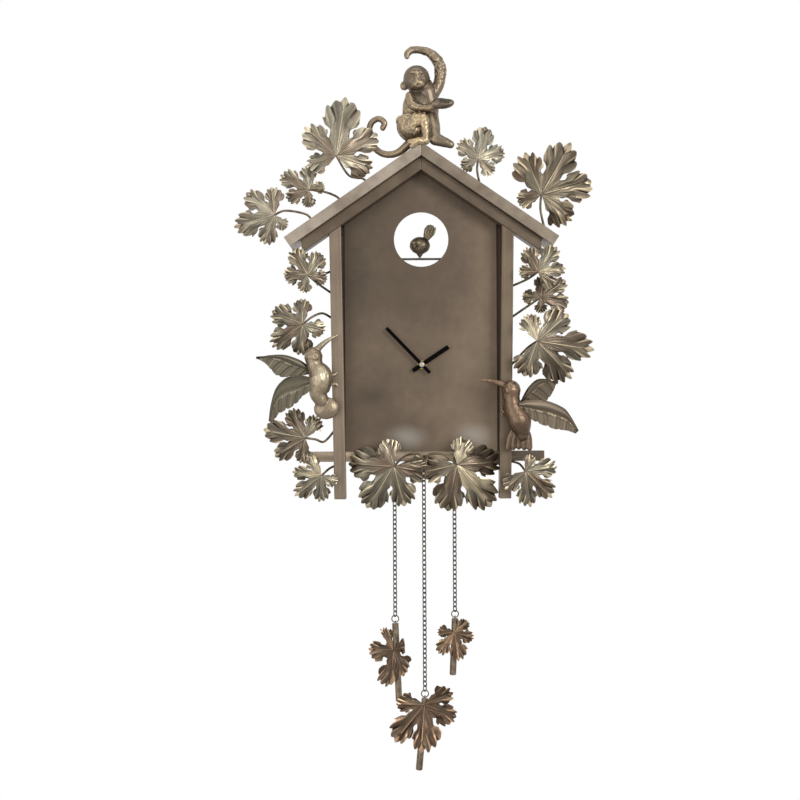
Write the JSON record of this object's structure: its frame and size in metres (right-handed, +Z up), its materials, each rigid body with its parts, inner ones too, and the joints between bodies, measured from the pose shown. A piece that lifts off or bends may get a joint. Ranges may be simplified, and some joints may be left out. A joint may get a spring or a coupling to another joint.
{
  "type": "cuckoo clock",
  "caption": "House-shaped metal wall clock with vine leaves, hummingbirds and a monkey on its roof, a bird in a round window, baton hands, and leaf pendants on chains.",
  "frame": {"origin": "centre of the hanger hole, in the plane of the wall", "axes": "+X to the right seen from the front, +Y into the wall, +Z up"},
  "size_m": [0.4687, 0.1006, 0.9533],
  "materials": {
    "panel_bronze": "satin antique bronze",
    "frame_bronze": "satin antique bronze",
    "roof_bronze": "satin antique bronze, lighter",
    "hanger_steel": "plain",
    "wire_bronze": "satin antique bronze",
    "figure_bronze": "rubbed antique bronze",
    "leaf_bronze": "rubbed antique bronze with gold ridges",
    "chain_brass": "aged brass",
    "hand_black": "matt black",
    "nut_silver": "polished",
    "case_black": "fine grain",
    "washer_rubber": "matt",
    "battery_sleeve": "gloss sleeve",
    "contact_steel": "nickel plated",
    "coil_copper": "enamelled wire",
    "board_green": "resist",
    "gear_white": "moulded",
    "arbor_brass": "turned"
  },
  "bodies": {
    "house": {"battery_contacts": "contact_steel", "chain_eyes": "chain_brass", "circuit_board": "board_green", "crossbar": "frame_bronze", "cuckoo_bird": "figure_bronze", "dial_nut": "hanger_steel", "dial_pan": "panel_bronze", "dial_washer": "washer_rubber", "hanger_plate": "hanger_steel", "hummingbird_left_body": "figure_bronze", "hummingbird_left_wings": "figure_bronze", "hummingbird_right_body": "figure_bronze", "hummingbird_right_wings": "figure_bronze", "leaf_left_eave_end": "leaf_bronze", "leaf_left_eave_large": "leaf_bronze", "leaf_left_eave_small": "leaf_bronze", "leaf_left_post_foot": "leaf_bronze", "leaf_left_post_lower": "leaf_bronze", "leaf_left_post_top": "leaf_bronze", "leaf_left_post_upper": "leaf_bronze", "leaf_right_eave_large": "leaf_bronze", "leaf_right_eave_small": "leaf_bronze", "leaf_right_post_foot": "leaf_bronze", "leaf_right_post_large": "leaf_bronze", "leaf_right_post_second": "leaf_bronze", "leaf_right_post_top": "leaf_bronze", "leaf_sill_left": "leaf_bronze", "leaf_sill_right": "leaf_bronze", "left_gable_bar": "frame_bronze", "left_post": "frame_bronze", "left_roof_plank": "roof_bronze", "monkey": "figure_bronze", "motor_coil": "coil_copper", "movement_case": "case_black", "movement_cover": "case_black", "perch_rod": "wire_bronze", "right_gable_bar": "frame_bronze", "right_post": "frame_bronze", "right_roof_plank": "roof_bronze", "roof_stems": "wire_bronze", "side_stems": "wire_bronze", "sill_stems": "wire_bronze"},
    "minute_works": {"minute_arbor": "arbor_brass", "minute_hand": "hand_black", "hand_nut": "nut_silver"},
    "hour_works": {"hour_wheel": "gear_white", "hour_hand": "hand_black"},
    "motion_works": {"motion_wheel": "gear_white", "setting_knob": "case_black"},
    "battery_cell": {"battery": "battery_sleeve"},
    "left_hanging_chain": {"left_chain": "chain_brass"},
    "left_pendant": {"left_pendant_rod": "chain_brass", "left_pendant_leaf": "leaf_bronze"},
    "centre_hanging_chain": {"centre_chain": "chain_brass"},
    "centre_pendant": {"centre_pendant_rod": "chain_brass", "centre_pendant_leaf": "leaf_bronze"},
    "right_hanging_chain": {"right_chain": "chain_brass"},
    "right_pendant": {"right_pendant_rod": "chain_brass", "right_pendant_leaf": "leaf_bronze"}
  },
  "joints": [
    {"name": "minute_hand_spin", "type": "hinge", "parent": "house", "child": "minute_works", "pos_m": [0, 0, -0.2524], "axis": [0, 1, 0], "continuous": true},
    {"name": "hour_hand_spin", "type": "hinge", "parent": "house", "child": "hour_works", "pos_m": [0, 0, -0.2524], "axis": [0, 1, 0], "continuous": true},
    {"name": "motion_wheel_spin", "type": "hinge", "parent": "house", "child": "motion_works", "pos_m": [0.00848, 0, -0.24391], "axis": [0, 1, 0], "continuous": true},
    {"name": "battery_lift", "type": "slide", "parent": "house", "child": "battery_cell", "axis": [0, 1, 0], "range_m": [0, 0.02]},
    {"name": "left_chain_sway", "type": "hinge", "parent": "house", "child": "left_hanging_chain", "pos_m": [-0.037, -0.033, -0.3875], "axis": [0, 1, 0], "range_deg": [-6, 6]},
    {"name": "left_pendant_twist", "type": "hinge", "parent": "left_hanging_chain", "child": "left_pendant", "pos_m": [-0.037, -0.033, -0.5898], "axis": [0, 0, 1], "range_deg": [-15, 25]},
    {"name": "centre_chain_sway", "type": "hinge", "parent": "house", "child": "centre_hanging_chain", "pos_m": [0.0015, -0.069, -0.3833], "axis": [0, 1, 0], "range_deg": [-6, 6]},
    {"name": "centre_pendant_twist", "type": "hinge", "parent": "centre_hanging_chain", "child": "centre_pendant", "pos_m": [0.0015, -0.069, -0.6832], "axis": [0, 0, 1], "range_deg": [-30, 30]},
    {"name": "right_chain_sway", "type": "hinge", "parent": "house", "child": "right_hanging_chain", "pos_m": [0.0425, -0.033, -0.3875], "axis": [0, 1, 0], "range_deg": [-6, 6]},
    {"name": "right_pendant_twist", "type": "hinge", "parent": "right_hanging_chain", "child": "right_pendant", "pos_m": [0.0425, -0.033, -0.5837], "axis": [0, 0, 1], "range_deg": [-30, 30]}
  ],
  "couplings": [
    {"joint": "hour_hand_spin", "follows": "minute_hand_spin", "ratio": 0.083333},
    {"joint": "motion_wheel_spin", "follows": "minute_hand_spin", "ratio": -0.33333}
  ]
}
